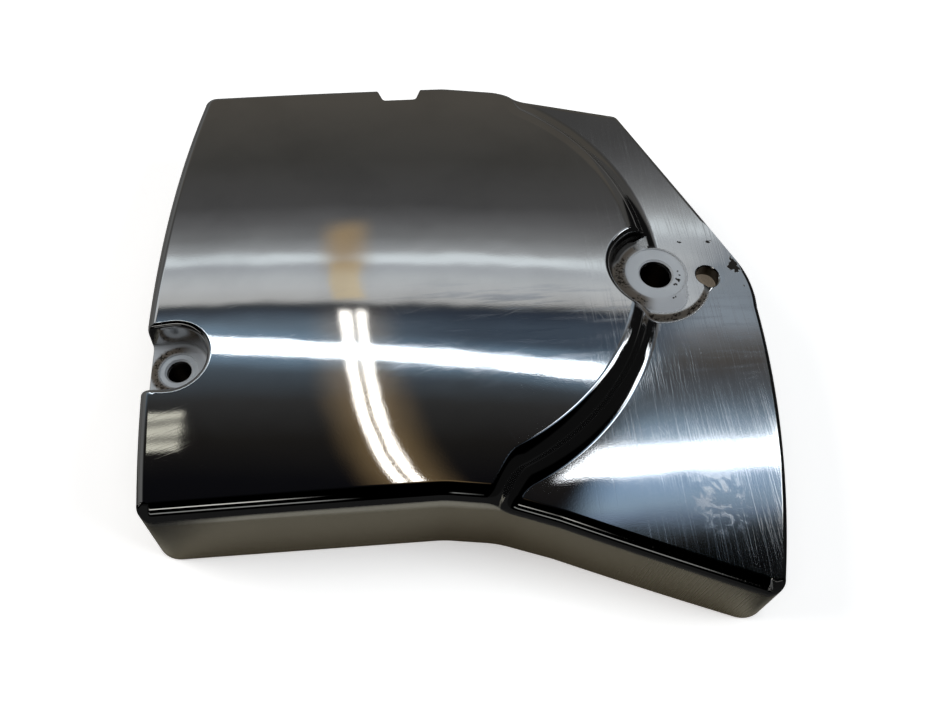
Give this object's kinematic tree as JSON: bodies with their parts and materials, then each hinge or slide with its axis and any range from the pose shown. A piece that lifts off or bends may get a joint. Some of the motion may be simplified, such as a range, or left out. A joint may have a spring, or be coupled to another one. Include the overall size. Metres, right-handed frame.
{
  "type": "motorcycle sprocket cover",
  "caption": "Cast sprocket cover shell: flat polished face with a round bulge, a lower wing, recessed bolt seats and a cable notch.",
  "frame": {"origin": "axis of the main bolt, in the mounting plane that the rim rests on", "axes": "+Z along the main bolt, out of the polished face; +X from the edge bolt's side towards the wing's small hole; +Y towards the edge with the notch"},
  "size_m": [0.1792, 0.1745, 0.0355],
  "materials": {
    "polished_aluminium": "polished cast aluminium with fine scratches and slightly dull skirts, bolt seats machined"
  },
  "bodies": {
    "root": {"sprocket_cover": "polished_aluminium"}
  },
  "joints": []
}
